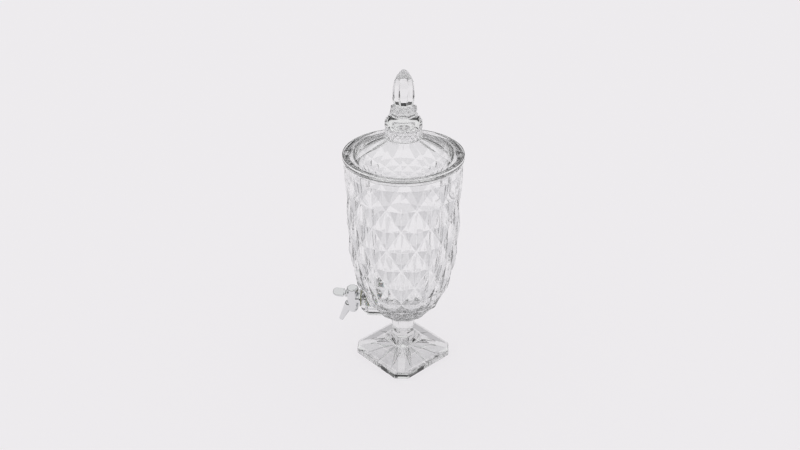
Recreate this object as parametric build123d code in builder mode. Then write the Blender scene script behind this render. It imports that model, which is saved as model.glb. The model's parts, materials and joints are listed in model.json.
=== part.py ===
"""Glass juice dispenser: a diamond-cut bowl on a square foot, a lid with a finial, and a press-lever tap.

Millimetres, +Z up. The origin is under the middle of the foot, and the tap points along -Y.
"""

import math
import os

from build123d import *

os.makedirs("parts", exist_ok=True)

# Foot and stem: a square with cut corners, one corner under the tap
foot_side = 121.0
foot_corner_cut = 15.0
foot_edge_height = 9.0
border_width = 5.0
border_rise = 2.5
pyramid_corner_cut = 7.0
shoulder_side = 72.0
shoulder_rise = 7.5
neck_side = 49.0
neck_rise = 8.0
stem_flats = 35.0
stem_root_rise = 11.0
waist_flats = 33.0
waist_rise = 18.0
stem_top_flats = 40.0
stem_top_rise = 18.0
foot_recess_side = 84.0
foot_recess_floor = 18.0
foot_recess_depth = 4.0
star_rays = 12
star_radius = 56.0
star_deep_radius = 26.0
star_depth = 6.0
star_crest_depth = 0.3

# Bowl
bowl_height = 279.0
rim_radius = 88.0
belly_inset = 1.2
belly_drop = 113.0
bowl_squareness = 2.25
inside_squareness = 2.5
bowl_round_overrun = 2.0
bowl_wall = 8.0
bowl_floor = 12.0
rim_edge_radius = 2.5

# Diamond pattern of the bowl
bowl_columns = 12
plain_band = 13.0
row_height = 33.5
full_rows = 6
base_rows = 3
base_row_taper = 1.55
groove_depth = 3.4

# Lid and finial
lid_gasket_thickness = 1.5
lid_gasket_clearance = 0.3
flange_overhang = 2.0
flange_thickness = 6.0
flange_edge_radius = 2.0
skirt_wall = 8.5
skirt_foot = 2.0
skirt_depth = 10.0
skirt_clearance = 2.5
flange_land = 2.5
dome_rise = 26.0
dome_wall = 5.5
collar_radius = 27.5
collar_ledge = 1.5
collar_height = 24.6
collar_columns = 24
collar_rows = 6
collar_groove = 1.3
collar_wall = 7.0
collar_roof = 4.0
knop_ledge = 2.0
lid_shoulder_rise = 9.9
finial_sides = 8
knop_foot_radius = 18.0
knop_radius = 21.0
knop_foot_rise = 3.5
knop_rise = 6.0
knop_taper = 0.6
bud_neck_radius = 12.0
bud_neck_rise = 4.5
bud_radius = 17.0
bud_belly_rise = 20.5
bud_tip_radius = 2.5
bud_tip_rise = 31.0
bud_bends = 4
bud_point = 0.85
finial_spigot_radius = 6.0
finial_spigot_length = 8.0

# Tap: axis through the glass, flat seats on both sides of the wall
tap_rise = 28.0
cap_glass_gap = 4.6
tap_glass = 10.0
boss_radius = 27.0
boss_lip = 2.0
boss_bevel = 10.0
boss_length = 34.0
seat_margin = 2.0
shank_radius = 7.5
shank_bore_radius = 3.5
shank_hole_clearance = 0.7
thread_pitch = 2.0
thread_depth = 0.9
thread_clearance = 0.1
gasket_inset = 1.0
gasket_thickness = 2.0
washer_thickness = 1.2
nut_radius = 13.4
nut_margin = 0.8
nut_thickness = 10.0
nut_flutes = 12
nut_flute_radius = 1.6
shank_overhang = 4.5
tap_flange_radius = 14.0
tap_flange_thickness = 3.0
tap_flange_bevel = 1.2
neck_step = 1.1
neck_length = 1.0

# Tap barrel, spout and valve
barrel_wall = 2.0
cup_clearance = 1.0
chamber_depth = 12.0
chamber_head = 3.8
valve_port_radius = 3.0
valve_port_length = 6.0
outlet_drop = 3.5
barrel_ball_drop = 5.0
gland_ledge = 1.0
gland_thickness = 3.0
gland_clearance = 0.05
lever_space = 7.0
spout_length = 32.0
spout_lean = 25.0
spout_root_radius = 7.4
spout_tip_radius = 3.6
spout_bore_radius = 2.4
spout_root_forward = 6.5
cap_overhang = 0.6
cap_height = 7.0
cap_dome = 3.0
cap_plug_length = 1.5
clip_clearance = 0.5
cap_pocket_depth = 5.5
stem_radius = 2.0
stem_tail = 4.0
stem_groove_depth = 0.4
running_clearance = 0.05
slip_clearance = 0.02
seat_cup_radius = 5.0
seat_cup_height = 5.0
seat_cup_socket = 3.5
seat_gap = 0.05
clip_radius = 5.0
clip_thickness = 1.2
clip_mouth = 3.0
seal_wire_radius = 0.7
spring_play = 1.15
spring_wire_radius = 0.4
spring_turns = 4
spring_seat_gap = 0.1

# Lever
lever_arm = 9.5
pivot_above_gland = 2.0
hub_radius = 3.2
hub_width = 7.6
pin_radius = 1.2
ear_thickness = 2.5
ear_proud = 0.1
ear_gap = 0.3
slot_gap = 0.4
fork_nose_radius = 1.5
fork_arm_thickness = 2.4
fork_gap = 0.3
clip_gap = 0.2
paddle_width = 21.0
paddle_length = 22.5
paddle_gap = 1.1
paddle_thickness = 4.0
paddle_end_radius = 8.5
paddle_lift = 8.0
paddle_edge_radius = 1.5

# Radii that follow from their neighbours
belly_radius = rim_radius - belly_inset
inner_wall_radius = belly_radius - bowl_wall
mouth_radius = rim_radius - bowl_wall
flange_radius = rim_radius + flange_overhang
dome_foot_radius = flange_radius - flange_land
dome_top_radius = collar_radius + collar_ledge
shoulder_top_radius = knop_foot_radius + knop_ledge
seat_radius = tap_flange_radius + seat_margin
boss_face_radius = seat_radius + boss_lip
inner_seat_radius = nut_radius + nut_margin
shank_hole_radius = shank_radius + shank_hole_clearance
gasket_radius = tap_flange_radius - gasket_inset
neck_radius = shank_radius + neck_step
chamber_radius = seat_cup_radius + cup_clearance
gland_radius = chamber_radius + gland_ledge
barrel_radius = gland_radius + barrel_wall
cap_radius = barrel_radius + cap_overhang
cap_pocket_radius = clip_radius + clip_clearance
spring_coil_radius = stem_radius + spring_play + spring_wire_radius
ear_radius = hub_radius + ear_proud
paddle_start = ear_radius + paddle_gap

# Heights that follow from the stack
foot_height = (
    foot_edge_height + border_rise + shoulder_rise + neck_rise + stem_root_rise + waist_rise + stem_top_rise
)
bowl_bottom = foot_height
floor_height = bowl_bottom + bowl_floor
rim_height = bowl_bottom + bowl_height
belly_height = rim_height - belly_drop
pattern_top = rim_height - plain_band
flange_bottom = rim_height + lid_gasket_thickness
flange_top = flange_bottom + flange_thickness
collar_bottom = flange_top + dome_rise
collar_top = collar_bottom + collar_height
lid_top = collar_top + lid_shoulder_rise
tap_height = bowl_bottom + tap_rise
seat_height = tap_height - chamber_depth
gland_bottom = tap_height + chamber_head
gland_top = gland_bottom + gland_thickness
barrel_top = gland_top + lever_space
cap_top = barrel_top + cap_height
cap_ceiling = barrel_top + cap_pocket_depth
pivot_height = gland_top + pivot_above_gland
clip_bottom = pivot_height + fork_nose_radius + clip_gap
clip_top = clip_bottom + clip_thickness
ball_height = seat_height - barrel_ball_drop
outlet_height = seat_height - outlet_drop


def octagon_cut(side):
    """Corner cut that makes a square of this side a regular octagon."""
    return side * (1 - math.sqrt(0.5))


def cut_square(height, side, cut):
    """Sketch of a square with cut corners, a corner towards each axis."""
    with BuildSketch(Plane.XY.offset(height)) as section:
        Rectangle(side, side, rotation=45)
        chamfer(section.vertices(), cut)
    return section.sketch


def inside_profile(share):
    """Point on the bowl's inner wall below the belly: share 0 is the belly, 1 the floor on the axis."""
    angle = share * math.pi / 2
    power = 2 / inside_squareness
    return (
        inner_wall_radius * max(math.cos(angle), 0.0) ** power,
        belly_height - (belly_height - floor_height) * math.sin(angle) ** power,
    )


def bowl_radius(height):
    """Radius of the uncut outer wall."""
    if height >= belly_height:
        share = (height - belly_height) / belly_drop
        return belly_radius + (rim_radius - belly_radius) * share
    depth = (belly_height - height) / (belly_height - bowl_bottom + bowl_round_overrun)
    return belly_radius * (1 - depth**bowl_squareness) ** (1 / bowl_squareness)


def diamond_cut_solid(columns, rings):
    """Closed solid of pointed diamonds between crossing grooves.

    Rings run from top to bottom as (height, crest radius, groove radius). A diamond's point and
    the crossings of the grooves take turns round each ring, and change places on the next ring.
    """
    step = math.pi / columns
    last = len(rings) - 1

    def point(ring, place):
        height, crest, groove = rings[ring]
        radius = crest if (ring + place) % 2 else groove
        return (radius * math.cos(place * step), radius * math.sin(place * step), height)

    def facet(*places):
        return Face(Wire.make_polygon([point(*place) for place in places]))

    facets = [facet(*[(ring, place) for place in range(2 * columns)]) for ring in (0, last)]
    for ring in range(last + 1):
        for place in range((ring + 1) % 2, 2 * columns, 2):
            for tip in (ring - 1, ring + 1):
                if 0 <= tip <= last:
                    facets.append(facet((ring, place), (tip, place), (ring, place - 1)))
                    facets.append(facet((ring, place), (ring, place + 1), (tip, place)))
    return Solid(Shell(facets))


def star_cut_solid():
    """Closed solid of pointed rays round the axis, which the base plane of the foot cuts off below."""
    step = math.pi / star_rays

    def point(radius, place, height):
        return (radius * math.cos(place * step), radius * math.sin(place * step), height)

    def facet(*points):
        return Face(Wire.make_polygon(points))

    eye = (0, 0, star_depth)
    places = range(2 * star_rays)
    facets = [facet(*[point(star_radius, place, -star_depth) for place in places])]
    for ray in places[1::2]:
        deep = point(star_deep_radius, ray, star_depth)
        tip = point(star_radius, ray, 0)
        tip_below = point(star_radius, ray, -star_depth)
        for side in (ray - 1, ray + 1):
            crest = point(star_deep_radius, side, star_crest_depth)
            corner = point(star_radius, side, 0)
            corner_below = point(star_radius, side, -star_depth)
            facets.append(facet(eye, deep, crest))
            facets.append(facet(deep, tip, crest))
            facets.append(facet(tip, corner, crest))
            facets.append(facet(tip, tip_below, corner_below, corner))
    return Solid(Shell(facets))


# Foot and stem, one pressed piece with a pyramid recess and a star cut under it
foot_sections = [(0.0, foot_side, foot_corner_cut), (foot_edge_height, foot_side, foot_corner_cut)]
height = foot_edge_height
for rise, side in (
    (border_rise, foot_side - 2 * border_width),
    (shoulder_rise, shoulder_side),
    (neck_rise, neck_side),
):
    height += rise
    foot_sections.append((height, side, pyramid_corner_cut))
for rise, side in ((stem_root_rise, stem_flats), (waist_rise, waist_flats), (stem_top_rise, stem_top_flats)):
    height += rise
    foot_sections.append((height, side, octagon_cut(side)))
with BuildPart() as pedestal_foot:
    loft([cut_square(*section) for section in foot_sections], ruled=True)
    recess_mouth = cut_square(0, foot_recess_side, pyramid_corner_cut)
    recess_floor = cut_square(foot_recess_depth, foot_recess_floor, octagon_cut(foot_recess_floor))
    loft([recess_mouth, recess_floor], ruled=True, mode=Mode.SUBTRACT)
    add(star_cut_solid(), mode=Mode.SUBTRACT)
pedestal_foot.part.label = "pedestal_foot"
export_step(pedestal_foot.part, "parts/pedestal_foot.step")

# Rings of the bowl's pattern: even rows on the wall, then rows that shrink towards the bottom
bowl_rings = []
base_top = pattern_top - full_rows * row_height
ring_heights = [pattern_top - row * row_height for row in range(full_rows + 1)]
for row in range(1, base_rows + 1):
    share = (1 - row / base_rows) ** base_row_taper
    ring_heights.append(bowl_bottom + (base_top - bowl_bottom) * share)
for ring, ring_height in enumerate(ring_heights):
    crest = bowl_radius(ring_height)
    ends = ring in (0, len(ring_heights) - 1)
    depth = 0.0 if ends else groove_depth * crest / belly_radius
    bowl_rings.append((ring_height, crest, crest - depth))

# Tap planes: one across the tap's axis, with its normal outwards, and one through the tap's middle,
# with x outwards and y up
tap_plane = Plane(origin=(0, 0, tap_height), x_dir=(1, 0, 0), z_dir=(0, -1, 0))
side_plane = Plane(origin=(0, 0, 0), x_dir=(0, -1, 0), z_dir=(-1, 0, 0))
tap_axis = Axis((0, 0, tap_height), (0, -1, 0))
barrel_reach = bowl_radius(cap_top) + cap_glass_gap + cap_radius
tap_seat_reach = barrel_reach - barrel_radius - neck_length - tap_flange_thickness - gasket_thickness
inner_seat_reach = tap_seat_reach - tap_glass
profile_steps = 8

with BuildPart() as jar_bowl:
    add(diamond_cut_solid(bowl_columns, bowl_rings))
    with BuildSketch(Plane.XY.offset(pattern_top)):
        Circle(rim_radius)
    extrude(amount=plain_band)
    # Round bevelled boss that carries the tap, and its flat outer seat
    with BuildSketch(side_plane):
        with BuildLine():
            Polyline(
                (tap_seat_reach - boss_length, tap_height),
                (tap_seat_reach - boss_length, tap_height + boss_radius),
                (tap_seat_reach - boss_bevel, tap_height + boss_radius),
                (tap_seat_reach, tap_height + boss_face_radius),
                (tap_seat_reach, tap_height),
                close=True,
            )
        make_face()
    revolve(axis=tap_axis)
    with BuildSketch(tap_plane.offset(tap_seat_reach)):
        Circle(seat_radius)
    extrude(amount=rim_radius - tap_seat_reach, mode=Mode.SUBTRACT)
    # Smooth inside
    with BuildSketch(Plane.XZ):
        with BuildLine():
            inside = Spline(
                *[inside_profile(step / profile_steps) for step in range(profile_steps + 1)],
                tangents=((0, -1), (-1, 0)),
            )
            Polyline((0, floor_height), (0, rim_height), (mouth_radius, rim_height), inside @ 0)
        make_face()
    revolve(axis=Axis.Z, mode=Mode.SUBTRACT)
    # Flat inner seat and the drilled hole
    with BuildSketch(tap_plane):
        Circle(inner_seat_radius)
    extrude(amount=inner_seat_reach, mode=Mode.SUBTRACT)
    with BuildSketch(tap_plane):
        Circle(shank_hole_radius)
    extrude(amount=tap_seat_reach, mode=Mode.SUBTRACT)
    fillet(jar_bowl.edges().filter_by(GeomType.CIRCLE).group_by(Axis.Z)[-1], rim_edge_radius)
jar_bowl.part.label = "jar_bowl"
export_step(jar_bowl.part, "parts/jar_bowl.step")

# Lid gasket
skirt_radius = mouth_radius - skirt_clearance
with BuildPart() as lid_gasket:
    with BuildSketch(Plane.XY.offset(rim_height)):
        Circle(rim_radius)
        Circle(skirt_radius + lid_gasket_clearance, mode=Mode.SUBTRACT)
    extrude(amount=lid_gasket_thickness)
lid_gasket.part.label = "lid_gasket"
export_step(lid_gasket.part, "parts/lid_gasket.step")

# Lid: flange, twelve-panel cone, hollow diamond-cut collar, plain shoulder, and a tapered skirt in the mouth
panel_turn = 180 / bowl_columns
apothem = math.cos(math.pi / bowl_columns)
dome_slope = dome_rise / ((dome_foot_radius - dome_top_radius) * apothem)
dome_wall_drop = dome_wall * math.sqrt(1 + dome_slope**2)
skirt_foot_radius = skirt_radius - skirt_foot
skirt_root_radius = skirt_radius - skirt_wall
hollow_top_radius = dome_top_radius * apothem


def dome_underside(radius):
    """Height of the cone's inner face, a wall's thickness under its panels."""
    return flange_top + (dome_foot_radius * apothem - radius) * dome_slope - dome_wall_drop


collar_rings = []
for row in range(collar_rows + 1):
    groove = 0.0 if row in (0, collar_rows) else collar_groove
    ring_height = collar_top - row * collar_height / collar_rows
    collar_rings.append((ring_height, collar_radius, collar_radius - groove))

with BuildPart() as lid_cover:
    with BuildSketch(Plane.XY.offset(flange_bottom)):
        Circle(flange_radius)
    extrude(amount=flange_thickness)
    fillet(lid_cover.edges().filter_by(GeomType.CIRCLE), flange_edge_radius)
    with BuildSketch(Plane.XY.offset(flange_bottom)):
        Circle(skirt_radius)
    extrude(amount=-skirt_depth)
    with BuildSketch(Plane.XY.offset(flange_top)):
        RegularPolygon(dome_foot_radius, bowl_columns, rotation=panel_turn)
    with BuildSketch(Plane.XY.offset(collar_bottom)):
        RegularPolygon(dome_top_radius, bowl_columns, rotation=panel_turn)
    loft(ruled=True)
    add(diamond_cut_solid(collar_columns, collar_rings))
    with BuildSketch(Plane.XZ):
        with BuildLine():
            Polyline(
                (0, collar_top),
                (collar_radius, collar_top),
                (shoulder_top_radius, lid_top),
                (0, lid_top),
                close=True,
            )
        make_face()
    revolve(axis=Axis.Z)
    with BuildSketch(Plane.XZ):
        with BuildLine():
            Polyline(
                (0, flange_bottom - skirt_depth),
                (skirt_foot_radius, flange_bottom - skirt_depth),
                (skirt_root_radius, dome_underside(skirt_root_radius)),
                (hollow_top_radius, dome_underside(hollow_top_radius)),
                (collar_radius - collar_wall, collar_bottom),
                (collar_radius - collar_wall, collar_top - collar_roof),
                (0, collar_top - collar_roof),
                close=True,
            )
        make_face()
    revolve(axis=Axis.Z, mode=Mode.SUBTRACT)
    with BuildSketch(Plane.XY.offset(lid_top)):
        Circle(finial_spigot_radius + running_clearance)
    extrude(amount=-finial_spigot_length, mode=Mode.SUBTRACT)
lid_cover.part.label = "lid_cover"
export_step(lid_cover.part, "parts/lid_cover.step")

# Finial: a knop and a long bud, both eight-sided, with a spigot in the lid
knop_shoulder = lid_top + knop_foot_rise + knop_rise
bud_bottom = knop_shoulder + bud_neck_rise
bud_belly = bud_bottom + bud_belly_rise
finial_sections = [
    (lid_top, knop_foot_radius),
    (lid_top + knop_foot_rise, knop_radius),
    (knop_shoulder, knop_radius - knop_taper),
]
for bend in range(bud_bends):
    share = 1 - bend / bud_bends
    waist = 1 - (bud_neck_radius / bud_radius) ** 2
    finial_sections.append((bud_belly - bud_belly_rise * share, bud_radius * math.sqrt(1 - waist * share**2)))
for bend in range(bud_bends + 1):
    share = bend / bud_bends
    ogive = bud_tip_radius + (bud_radius - bud_tip_radius) * (1 - share**2) ** bud_point
    finial_sections.append((bud_belly + bud_tip_rise * share, ogive))
with BuildPart() as lid_finial:
    for finial_height, radius in finial_sections:
        with BuildSketch(Plane.XY.offset(finial_height)):
            RegularPolygon(radius, finial_sides, rotation=180 / finial_sides)
    loft(ruled=True)
    with BuildSketch(Plane.XY.offset(lid_top)):
        Circle(finial_spigot_radius)
    extrude(amount=-finial_spigot_length)
lid_finial.part.label = "lid_finial"
export_step(lid_finial.part, "parts/lid_finial.step")

# Tap: distances out from the bowl's axis
inner_gasket_reach = inner_seat_reach - gasket_thickness
washer_reach = inner_gasket_reach - washer_thickness
nut_reach = washer_reach - nut_thickness
shank_end_reach = nut_reach - shank_overhang
flange_reach = tap_seat_reach + gasket_thickness
neck_reach = flange_reach + tap_flange_thickness
pivot_reach = barrel_reach + lever_arm
outlet_along = outlet_drop / math.cos(math.radians(spout_lean))
outlet_reach = barrel_reach + spout_root_forward + outlet_drop * math.tan(math.radians(spout_lean))
slot_half_width = hub_width / 2 + ear_gap
barrel_centre = (0, -barrel_reach)

# Planes across the spout's root and across the outlet
spout_root = (0, -barrel_reach - spout_root_forward, seat_height)
lean = math.radians(spout_lean)
spout_plane = Plane(origin=spout_root, x_dir=(1, 0, 0), z_dir=(0, -math.sin(lean), -math.cos(lean)))
outlet_plane = Plane(origin=(0, -barrel_reach, outlet_height), x_dir=(1, 0, 0), z_dir=(0, -1, 0))

# Ridges of the shank's thread, from its inner end to the glass
thread_turns = int((inner_seat_reach - shank_end_reach) / thread_pitch)
thread_points = [(shank_end_reach, tap_height), (shank_end_reach, tap_height + shank_radius - thread_depth)]
for turn in range(thread_turns):
    ridge = shank_end_reach + (turn + 0.5) * thread_pitch
    thread_points.append((ridge, tap_height + shank_radius))
    thread_points.append((ridge + 0.5 * thread_pitch, tap_height + shank_radius - thread_depth))
thread_points.append((thread_points[-1][0], tap_height + shank_radius))
thread_points.append((neck_reach, tap_height + shank_radius))
thread_points.append((neck_reach, tap_height))

with BuildPart() as tap_body:
    # Barrel with a round lower end
    with BuildSketch(Plane.XY.offset(ball_height)):
        with Locations(barrel_centre):
            Circle(barrel_radius)
    extrude(amount=barrel_top - ball_height)
    with Locations((*barrel_centre, ball_height)):
        Sphere(barrel_radius)
    # Tapered spout with a round shoulder
    with BuildSketch(spout_plane):
        Circle(spout_root_radius)
    with BuildSketch(spout_plane.offset(spout_length)):
        Circle(spout_tip_radius)
    loft()
    with Locations(spout_root):
        Sphere(spout_root_radius)
    # Neck and threaded shank
    with BuildSketch(tap_plane.offset(neck_reach)):
        Circle(neck_radius)
    extrude(amount=barrel_reach - neck_reach)
    with BuildSketch(side_plane):
        with BuildLine():
            Polyline(*thread_points, close=True)
        make_face()
    revolve(axis=tap_axis)
    # Ears that carry the lever's pin
    for side in (1, -1):
        with BuildSketch(side_plane.offset(side * slot_half_width)):
            with Locations((pivot_reach, pivot_height)):
                Circle(ear_radius)
            with Locations(((barrel_reach + pivot_reach) / 2, pivot_height)):
                Rectangle(lever_arm, 2 * ear_radius)
        extrude(amount=side * ear_thickness)
    # Wet chamber, valve port, dry lever space, outlet and inlet
    with BuildSketch(Plane.XY.offset(seat_height)):
        with Locations(barrel_centre):
            Circle(chamber_radius)
    extrude(amount=gland_bottom - seat_height, mode=Mode.SUBTRACT)
    with BuildSketch(Plane.XY.offset(gland_bottom)):
        with Locations(barrel_centre):
            Circle(gland_radius)
    extrude(amount=barrel_top - gland_bottom, mode=Mode.SUBTRACT)
    with BuildSketch(Plane.XY.offset(seat_height)):
        with Locations(barrel_centre):
            Circle(valve_port_radius)
    extrude(amount=-valve_port_length, mode=Mode.SUBTRACT)
    with BuildSketch(outlet_plane):
        Circle(spout_bore_radius)
    extrude(amount=outlet_reach - barrel_reach, mode=Mode.SUBTRACT)
    with BuildSketch(spout_plane.offset(spout_length)):
        Circle(spout_bore_radius)
    extrude(amount=outlet_along - spout_length, mode=Mode.SUBTRACT)
    with BuildSketch(tap_plane.offset(shank_end_reach)):
        Circle(shank_bore_radius)
    extrude(amount=barrel_reach - shank_end_reach, mode=Mode.SUBTRACT)
    # Slot for the lever between the ears, and the pin's hole
    slot_height = 2 * (hub_radius + slot_gap)
    with BuildSketch(side_plane):
        with Locations((barrel_reach + barrel_radius, pivot_height)):
            Rectangle(2 * barrel_radius, slot_height)
    extrude(amount=slot_half_width, both=True, mode=Mode.SUBTRACT)
    with BuildSketch(side_plane):
        with Locations((pivot_reach, pivot_height)):
            Circle(pin_radius + slip_clearance)
    extrude(amount=slot_half_width + ear_thickness, both=True, mode=Mode.SUBTRACT)
tap_body.part.label = "tap_body"
export_step(tap_body.part, "parts/tap_body.step")

# Cap with a domed edge, a plug in the barrel and a pocket for the spring
with BuildPart() as tap_cap:
    with BuildSketch(Plane.XY.offset(barrel_top)):
        with Locations(barrel_centre):
            Circle(cap_radius)
    extrude(amount=cap_height)
    fillet(tap_cap.edges().sort_by(Axis.Z)[-1], cap_dome)
    with BuildSketch(Plane.XY.offset(barrel_top)):
        with Locations(barrel_centre):
            Circle(gland_radius - gland_clearance)
    extrude(amount=-cap_plug_length)
    with BuildSketch(Plane.XY.offset(barrel_top - cap_plug_length)):
        with Locations(barrel_centre):
            Circle(cap_pocket_radius)
    extrude(amount=cap_plug_length + cap_pocket_depth, mode=Mode.SUBTRACT)
tap_cap.part.label = "tap_cap"
export_step(tap_cap.part, "parts/tap_cap.step")

# Chromed flange ring against the outer gasket
with BuildPart() as tap_flange:
    with BuildSketch(tap_plane.offset(flange_reach)):
        Circle(tap_flange_radius)
    extrude(amount=tap_flange_thickness)
    fillet(tap_flange.edges().sort_by(Axis.Y)[0], tap_flange_bevel)
    with BuildSketch(tap_plane.offset(flange_reach)):
        Circle(shank_radius + thread_clearance)
    extrude(amount=tap_flange_thickness, mode=Mode.SUBTRACT)
tap_flange.part.label = "tap_flange"
export_step(tap_flange.part, "parts/tap_flange.step")

# Rings on the shank: two gaskets and a washer
for ring_name, ring_reach, ring_thickness in (
    ("outer_gasket", tap_seat_reach, gasket_thickness),
    ("inner_gasket", inner_gasket_reach, gasket_thickness),
    ("backing_washer", washer_reach, washer_thickness),
):
    with BuildPart() as shank_ring:
        with BuildSketch(tap_plane.offset(ring_reach)):
            Circle(gasket_radius)
            Circle(shank_radius + thread_clearance, mode=Mode.SUBTRACT)
        extrude(amount=ring_thickness)
    shank_ring.part.label = ring_name
    export_step(shank_ring.part, f"parts/{ring_name}.step")

# Fluted nut inside the bowl
with BuildPart() as shank_nut:
    with BuildSketch(tap_plane.offset(nut_reach)):
        Circle(nut_radius)
        with PolarLocations(nut_radius, nut_flutes):
            Circle(nut_flute_radius, mode=Mode.SUBTRACT)
        Circle(shank_radius + thread_clearance, mode=Mode.SUBTRACT)
    extrude(amount=nut_thickness)
shank_nut.part.label = "shank_nut"
export_step(shank_nut.part, "parts/shank_nut.step")

# Gland bush with its inner groove, and the O-ring in it
seal_ring_radius = stem_radius + running_clearance + seal_wire_radius
seal_groove_radius = seal_ring_radius + seal_wire_radius + slip_clearance
seal_groove_height = 2 * (seal_wire_radius + slip_clearance)
gland_middle = (gland_bottom + gland_top) / 2
with BuildPart() as gland_bush:
    with BuildSketch(Plane.XY.offset(gland_bottom)):
        with Locations(barrel_centre):
            Circle(gland_radius - gland_clearance)
            Circle(stem_radius + running_clearance, mode=Mode.SUBTRACT)
    extrude(amount=gland_thickness)
    with BuildSketch(Plane.XY.offset(gland_middle)):
        with Locations(barrel_centre):
            Circle(seal_groove_radius)
    extrude(amount=seal_groove_height / 2, both=True, mode=Mode.SUBTRACT)
gland_bush.part.label = "gland_bush"
export_step(gland_bush.part, "parts/gland_bush.step")

with BuildPart() as stem_seal:
    with Locations((*barrel_centre, gland_middle)):
        Torus(seal_ring_radius, seal_wire_radius)
stem_seal.part.label = "stem_seal"
export_step(stem_seal.part, "parts/stem_seal.step")

# Silicone cup that closes the valve port
cup_bottom = seat_height + seat_gap
cup_top = cup_bottom + seat_cup_height
stem_bottom = cup_top - seat_cup_socket
with BuildPart() as seat_cup:
    with BuildSketch(Plane.XY.offset(cup_bottom)):
        with Locations(barrel_centre):
            Circle(seat_cup_radius)
    extrude(amount=seat_cup_height)
    chamfer(seat_cup.edges().sort_by(Axis.Z)[-1], seat_cup_height / 4)
    with BuildSketch(Plane.XY.offset(stem_bottom)):
        with Locations(barrel_centre):
            Circle(stem_radius + slip_clearance)
    extrude(amount=seat_cup_socket, mode=Mode.SUBTRACT)
seat_cup.part.label = "seat_cup"
export_step(seat_cup.part, "parts/seat_cup.step")

# Stem with a groove for its clip
stem_top = clip_top + stem_tail
groove_radius = stem_radius - stem_groove_depth
with BuildPart() as valve_stem:
    with BuildSketch(Plane.XY.offset(stem_bottom)):
        with Locations(barrel_centre):
            Circle(stem_radius)
    extrude(amount=stem_top - stem_bottom)
    with BuildSketch(Plane.XY.offset(clip_bottom)):
        with Locations(barrel_centre):
            Circle(stem_radius)
            Circle(groove_radius, mode=Mode.SUBTRACT)
    extrude(amount=clip_thickness, mode=Mode.SUBTRACT)
valve_stem.part.label = "valve_stem"
export_step(valve_stem.part, "parts/valve_stem.step")

# Clip, open towards the bowl so that it slides into the groove
with BuildPart() as stem_clip:
    with BuildSketch(Plane.XY.offset(clip_bottom)):
        with Locations(barrel_centre):
            Circle(clip_radius)
            Circle(groove_radius + slip_clearance, mode=Mode.SUBTRACT)
        with Locations((0, -barrel_reach + clip_radius / 2)):
            Rectangle(clip_mouth, clip_radius, mode=Mode.SUBTRACT)
    extrude(amount=clip_thickness)
stem_clip.part.label = "stem_clip"
export_step(stem_clip.part, "parts/stem_clip.step")

# Return spring between the clip and the cap
spring_bottom = clip_top + spring_seat_gap + spring_wire_radius
spring_height = cap_ceiling - spring_seat_gap - spring_wire_radius - spring_bottom
with BuildPart() as return_spring:
    with BuildLine() as coil:
        Helix(
            spring_height / spring_turns,
            spring_height,
            spring_coil_radius,
            center=(*barrel_centre, spring_bottom),
        )
    with BuildSketch(Plane(origin=coil.line @ 0, z_dir=coil.line % 0)):
        Circle(spring_wire_radius)
    sweep(path=coil.line, is_frenet=True)
return_spring.part.label = "return_spring"
export_step(return_spring.part, "parts/return_spring.step")

# Lever: a paddle that rises a little outwards, a hub on the pin, and a fork under the clip
tilt = math.radians(paddle_lift)
paddle_plane = Plane(
    origin=(0, -pivot_reach, pivot_height), x_dir=(1, 0, 0), z_dir=(0, math.sin(tilt), math.cos(tilt))
)
fork_width = hub_width / 2 - stem_radius - fork_gap
with BuildPart() as lever:
    with BuildSketch(paddle_plane) as outline:
        with Locations((0, -(paddle_start + paddle_length) / 2)):
            Rectangle(paddle_width, paddle_length - paddle_start)
        fillet(outline.vertices().sort_by(Axis.Y)[:2], paddle_end_radius)
    extrude(amount=paddle_thickness / 2, both=True)
    paddle_axis = Axis(paddle_plane.origin, paddle_plane.z_dir)
    fillet(lever.edges().filter_by(paddle_axis, reverse=True), paddle_edge_radius)
    with BuildSketch(paddle_plane):
        with Locations((0, -paddle_start)):
            Rectangle(hub_width, 2 * paddle_start)
    extrude(amount=paddle_thickness / 2, both=True)
    with BuildSketch(side_plane):
        with Locations((pivot_reach, pivot_height)):
            Circle(hub_radius)
    extrude(amount=hub_width / 2, both=True)
    for side in (1, -1):
        with BuildSketch(side_plane.offset(side * (stem_radius + fork_gap))):
            with Locations((barrel_reach, pivot_height)):
                Circle(fork_nose_radius)
            with Locations(((barrel_reach + pivot_reach) / 2, pivot_height)):
                Rectangle(lever_arm, fork_arm_thickness)
        extrude(amount=side * fork_width)
    with BuildSketch(side_plane):
        with Locations((pivot_reach, pivot_height)):
            Circle(pin_radius + running_clearance)
    extrude(amount=hub_width / 2, both=True, mode=Mode.SUBTRACT)
lever.part.label = "lever"
export_step(lever.part, "parts/lever.step")

# Hinge pin, flush with the ears
with BuildPart() as lever_pin:
    with BuildSketch(side_plane):
        with Locations((pivot_reach, pivot_height)):
            Circle(pin_radius)
    extrude(amount=slot_half_width + ear_thickness, both=True)
lever_pin.part.label = "lever_pin"
export_step(lever_pin.part, "parts/lever_pin.step")
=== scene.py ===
# %% [markdown]
# # A cut-glass juice dispenser
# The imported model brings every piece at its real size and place, in metres: a glass bowl on a square foot,
# a loose lid with a finial, and a small chromed tap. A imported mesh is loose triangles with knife-sharp
# edges. This lesson rounds the edges that a mould and a polishing flame leave round, gives each piece its
# finish, and lights the whole so that clear glass can be read.

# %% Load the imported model
import json
import math

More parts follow.
